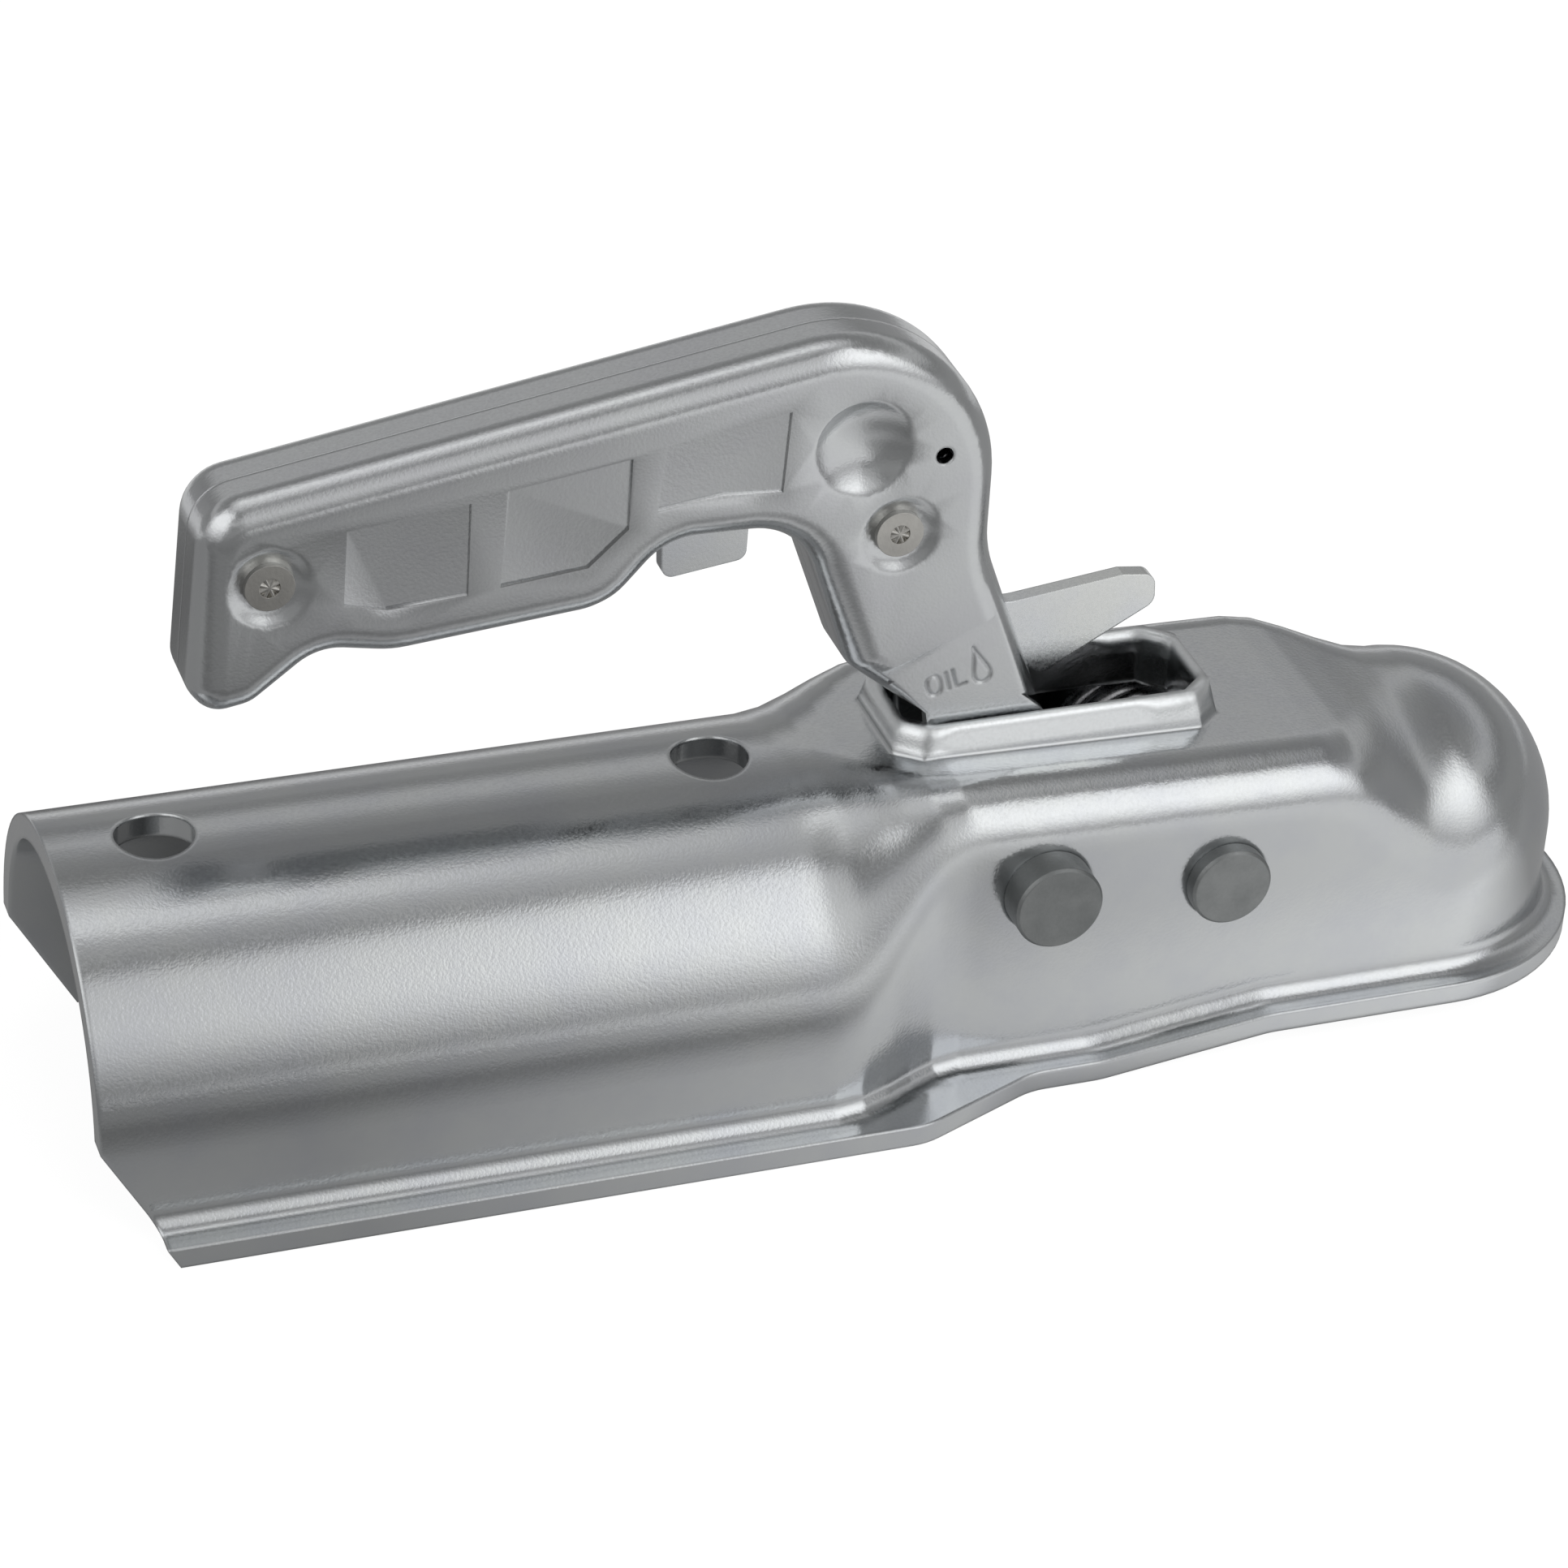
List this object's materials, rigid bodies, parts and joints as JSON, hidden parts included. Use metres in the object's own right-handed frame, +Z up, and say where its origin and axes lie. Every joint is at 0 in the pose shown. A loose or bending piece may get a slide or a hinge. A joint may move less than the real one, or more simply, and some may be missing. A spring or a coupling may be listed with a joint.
{
  "type": "trailer coupling head",
  "caption": "Pressed steel ball coupling head with a locking grip handle, a squeeze trigger and a spring loaded jaw that holds the tow ball.",
  "frame": {"origin": "under the middle of the head's length, in the middle plane, on the plane of the flange's underside", "axes": "+X towards the ball socket, +Z up, Y across"},
  "size_m": [0.2902, 0.0924, 0.1419],
  "materials": {
    "zinc_housing": "zinc plated pressing, satin",
    "zinc_handle": "zinc plated sheet, satin",
    "bare_pin": "machined steel, matte",
    "rivet_steel": "crimped steel, worn",
    "spring_steel": "dark drawn wire",
    "forged_jaw": "dark forged steel, greased"
  },
  "bodies": {
    "head": {"housing": "zinc_housing", "pivot_pin": "bare_pin", "pivot_spacers": "bare_pin", "jaw_pin": "bare_pin", "jaw_sleeves": "bare_pin", "main_spring": "spring_steel"},
    "handle": {"handle_shell_near": "zinc_handle", "handle_shell_far": "zinc_handle", "handle_front_rivet": "rivet_steel", "handle_rear_rivet": "rivet_steel", "front_rivet_sleeve": "bare_pin", "rear_rivet_spacer": "bare_pin", "trigger_spring": "spring_steel", "pivot_bush": "bare_pin", "link_pin": "bare_pin", "link_pin_clips": "spring_steel"},
    "trigger": {"trigger_catch": "zinc_handle"},
    "links": {"pull_links": "zinc_handle"},
    "jaw": {"clamp_jaw": "forged_jaw", "jaw_link_pin": "bare_pin", "jaw_link_clips": "spring_steel"}
  },
  "joints": [
    {"name": "handle_lift", "type": "hinge", "parent": "head", "child": "handle", "pos_m": [0.0277, 0, 0.0395], "axis": [0, 1, 0], "range_deg": [0, 45]},
    {"name": "trigger_squeeze", "type": "hinge", "parent": "handle", "child": "trigger", "pos_m": [0.0032, 0, 0.104], "axis": [0, 1, 0], "range_deg": [0, 20], "stiffness_Nm_per_rad": 0.2, "springref_deg": -20.05},
    {"name": "link_pivot", "type": "hinge", "parent": "handle", "child": "links", "pos_m": [0.03034, 0, 0.02068], "axis": [0, 1, 0], "range_deg": [-45, 0]},
    {"name": "jaw_swing", "type": "hinge", "parent": "head", "child": "jaw", "pos_m": [0.0624, 0, 0.036], "axis": [0, 1, 0], "range_deg": [0, 31.5], "stiffness_Nm_per_rad": 6, "springref_deg": -22.92, "deforming": ["main_spring"]}
  ],
  "couplings": [
    {"joint": "trigger_squeeze", "follows": "handle_lift", "ratio": 0.4444},
    {"joint": "link_pivot", "follows": "handle_lift", "ratio": -0.9853},
    {"joint": "jaw_swing", "follows": "handle_lift", "ratio": 0.7}
  ]
}
